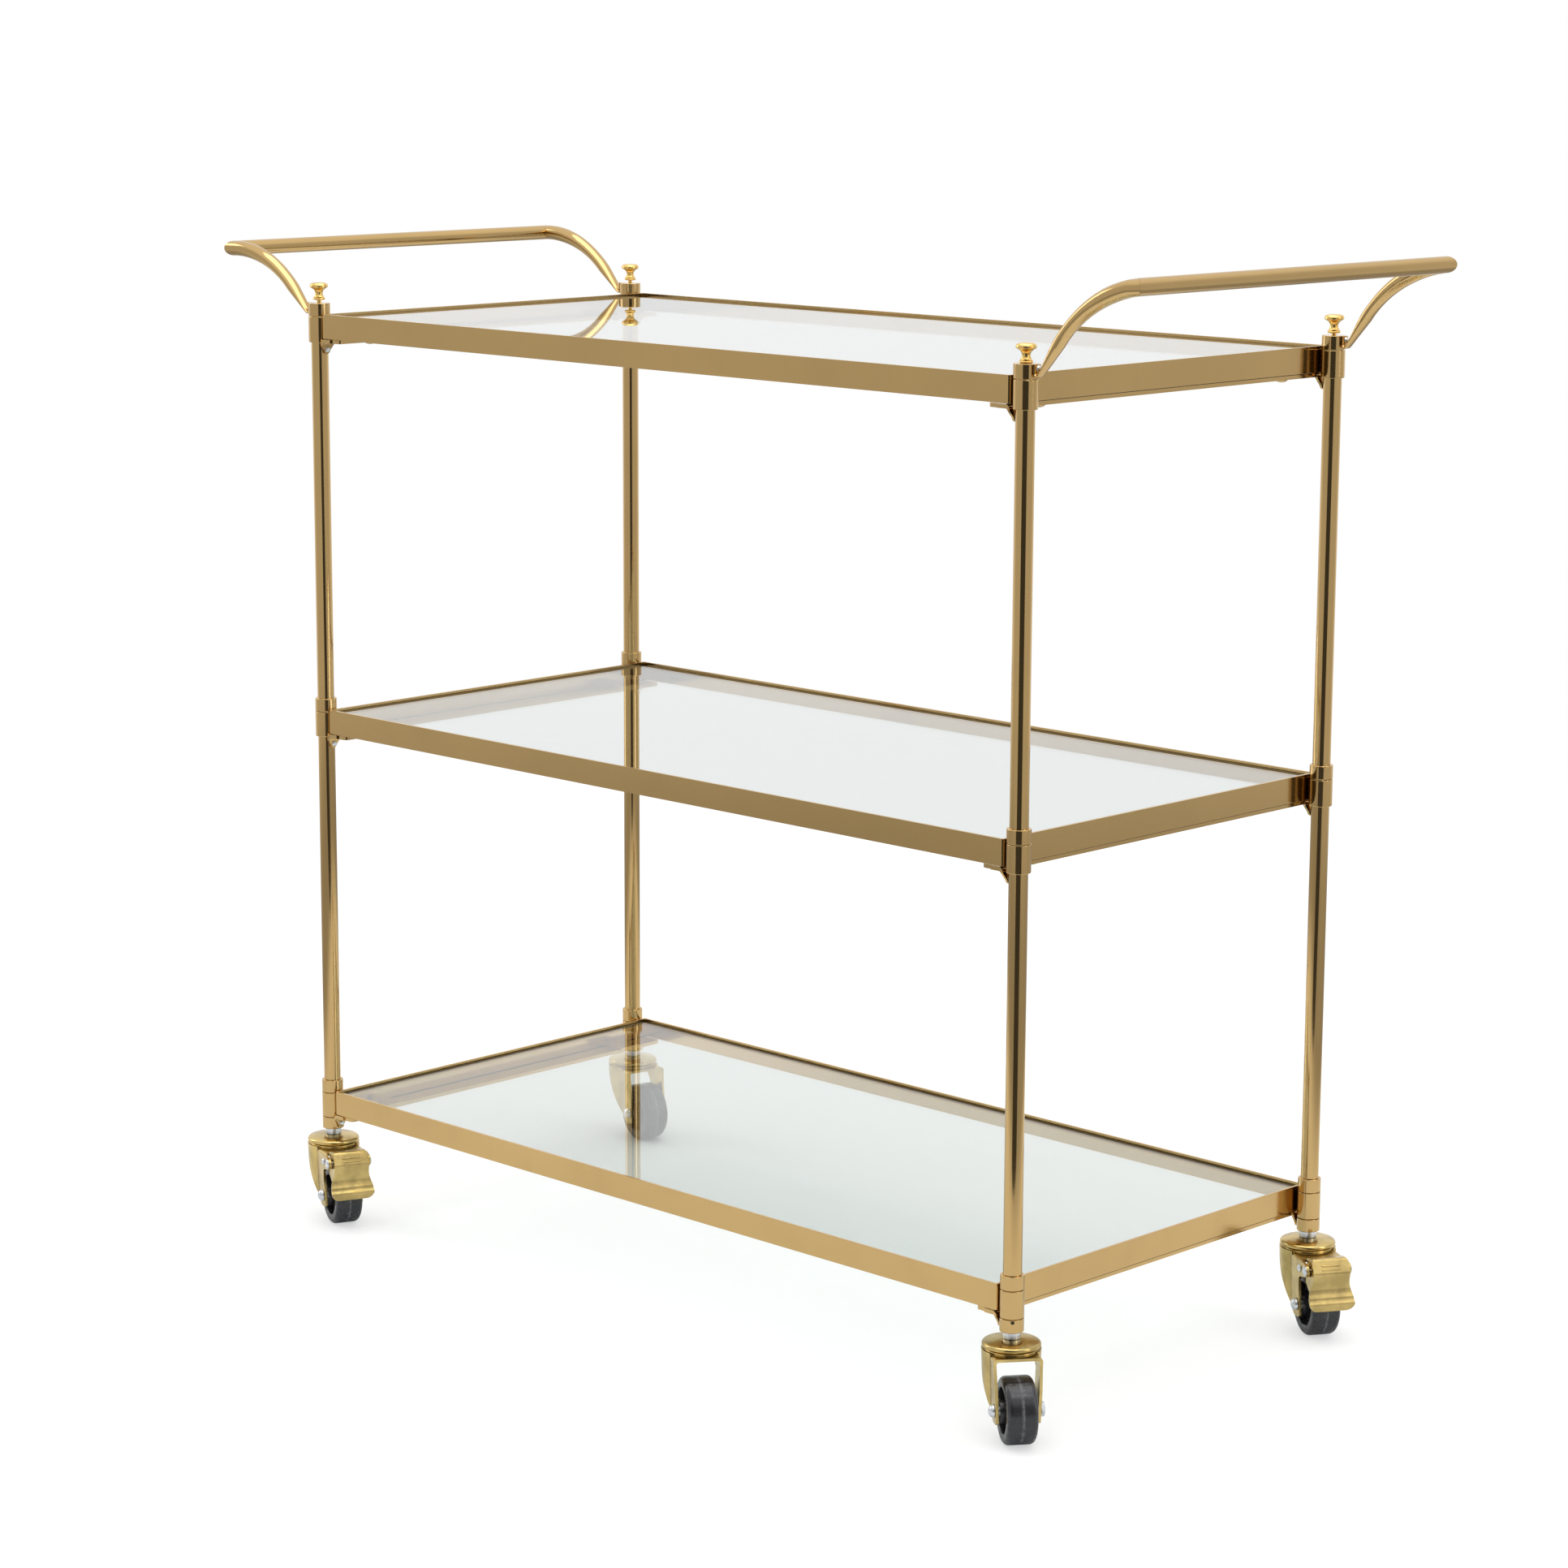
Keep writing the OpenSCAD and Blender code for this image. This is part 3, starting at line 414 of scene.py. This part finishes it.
def make_world():
    """White to the camera and a little darker through the glass.
    The metal sees a soft studio: a white backdrop, a bright ceiling and dimmer sides."""
    sides, backdrop, ceiling = 0.66, 1.0, 1.1
    away_from_camera = (-0.70, 0.714, 0)
    world = bpy.data.worlds.new("studio")
    bpy.context.scene.world = world
    n = Nodes(world)
    direction = n.add("ShaderNodeTexCoord").outputs["Generated"]
    height = n.add("ShaderNodeSeparateXYZ", {0: direction}).outputs[2]
    behind = n.add("ShaderNodeVectorMath", {0: direction, 1: away_from_camera}, operation="DOT_PRODUCT")
    light = n.ramp(behind.outputs["Value"], 0.05, 0.65, sides, backdrop)
    light = n.math("MAXIMUM", light, n.ramp(height, 0.25, 0.7, sides, ceiling))
    room = n.add("ShaderNodeCombineColor", {0: light, 1: light, 2: light}).outputs[0]
    path = n.add("ShaderNodeLightPath")
    studio = n.add("ShaderNodeBackground", {0: room, 1: 1.0})
    white = n.add("ShaderNodeBackground", {0: grey(1), 1: 1.0})
    pale = n.add("ShaderNodeBackground", {0: (0.80, 0.808, 0.805, 1), 1: 1.0})
    beyond = n.mix_shaders(path.outputs["Is Transmission Ray"], studio, pale)
    both = n.mix_shaders(path.outputs["Is Camera Ray"], beyond, white)
    out = n.add("ShaderNodeOutputWorld")
    n.tree.links.new(both.outputs[0], out.inputs[0])


def make_flag():
    """A black flag in front of the cart, seen only in reflections: it draws the dark line down each post.
    Its foot lies on the floor and reaches towards the front right post."""
    left, right = (0.69, -1.49), (2.80, -1.15)
    foot_left, foot_right = (0.57, -0.81), (1.02, -0.44)
    bottom, top = 4 * MM, 1.5
    mesh = bpy.data.meshes.new("black_flag")
    mesh.from_pydata([(*left, bottom), (*right, bottom), (*right, top), (*left, top),
                      (*foot_left, bottom), (*foot_right, bottom)], [], [(0, 1, 2, 3), (4, 5, 1, 0)])
    material = bpy.data.materials.new("black_cloth")
    n = Nodes(material)
    cloth = n.add("ShaderNodeEmission", {0: n.mix(n.noise(300), grey(0.055), grey(0.075)), 1: 1.0})
    n.finish(cloth.outputs[0])
    flag = add_object("black_flag", mesh, material)
    flag.visible_camera = False
    flag.visible_diffuse = False
    flag.visible_transmission = False
    flag.visible_shadow = False


def softbox(name, place, target, size, power):
    """A rectangular area light at place, turned towards target; power is in watts."""
    light = bpy.data.lights.new(name, "AREA")
    light.shape = "RECTANGLE"
    light.size, light.size_y = size
    light.energy = power
    lamp = bpy.data.objects.new(name, light)
    bpy.context.scene.collection.objects.link(lamp)
    lamp.location = place
    lamp.rotation_euler = (Vector(target) - Vector(place)).to_track_quat("-Z", "Y").to_euler()


def make_lights():
    """Three large softboxes, and a small one that puts a highlight on the wheels."""
    cart_centre, front_right_wheel = (0, 0, 0.4), (0.5, -0.2, 0.0)
    softbox("top_softbox", (0.0, 0.0, 2.9), cart_centre, (2.6, 2.2), 34)
    softbox("left_softbox", (-3.3, -1.2, 1.7), cart_centre, (1.0, 2.2), 16)
    softbox("small_softbox", (1.7, -0.6, 2.9), front_right_wheel, (0.5, 0.5), 4)
    softbox("right_softbox", (3.2, 0.9, 1.6), cart_centre, (0.9, 2.2), 14)


def make_camera():
    """The photograph's view, from a camera fitted to the posts."""
    eye, lens_mm, sensor_mm = (2.2629, -2.3326, 1.0283), 94.42, 36.0
    yaw, pitch, roll = (math.radians(a) for a in (44.389, 10.867, 0.228))
    back = Vector((math.sin(yaw) * math.cos(pitch), -math.cos(yaw) * math.cos(pitch), math.sin(pitch)))
    right = Vector((math.cos(yaw), math.sin(yaw), 0))
    up = back.cross(right)
    side = right * math.cos(roll) + up * math.sin(roll)
    top = back.cross(side)
    lens = bpy.data.cameras.new("camera")
    lens.sensor_width = sensor_mm
    lens.lens = lens_mm
    lens.clip_end = 50
    camera = bpy.data.objects.new("camera", lens)
    bpy.context.scene.collection.objects.link(camera)
    rows = [(side[i], top[i], back[i], place) for i, place in enumerate(eye)]
    camera.matrix_world = Matrix(rows + [(0, 0, 0, 1)])
    bpy.context.scene.camera = camera


make_floor()
make_world()
make_flag()
make_lights()
make_camera()
bpy.context.scene.view_settings.view_transform = "Standard"
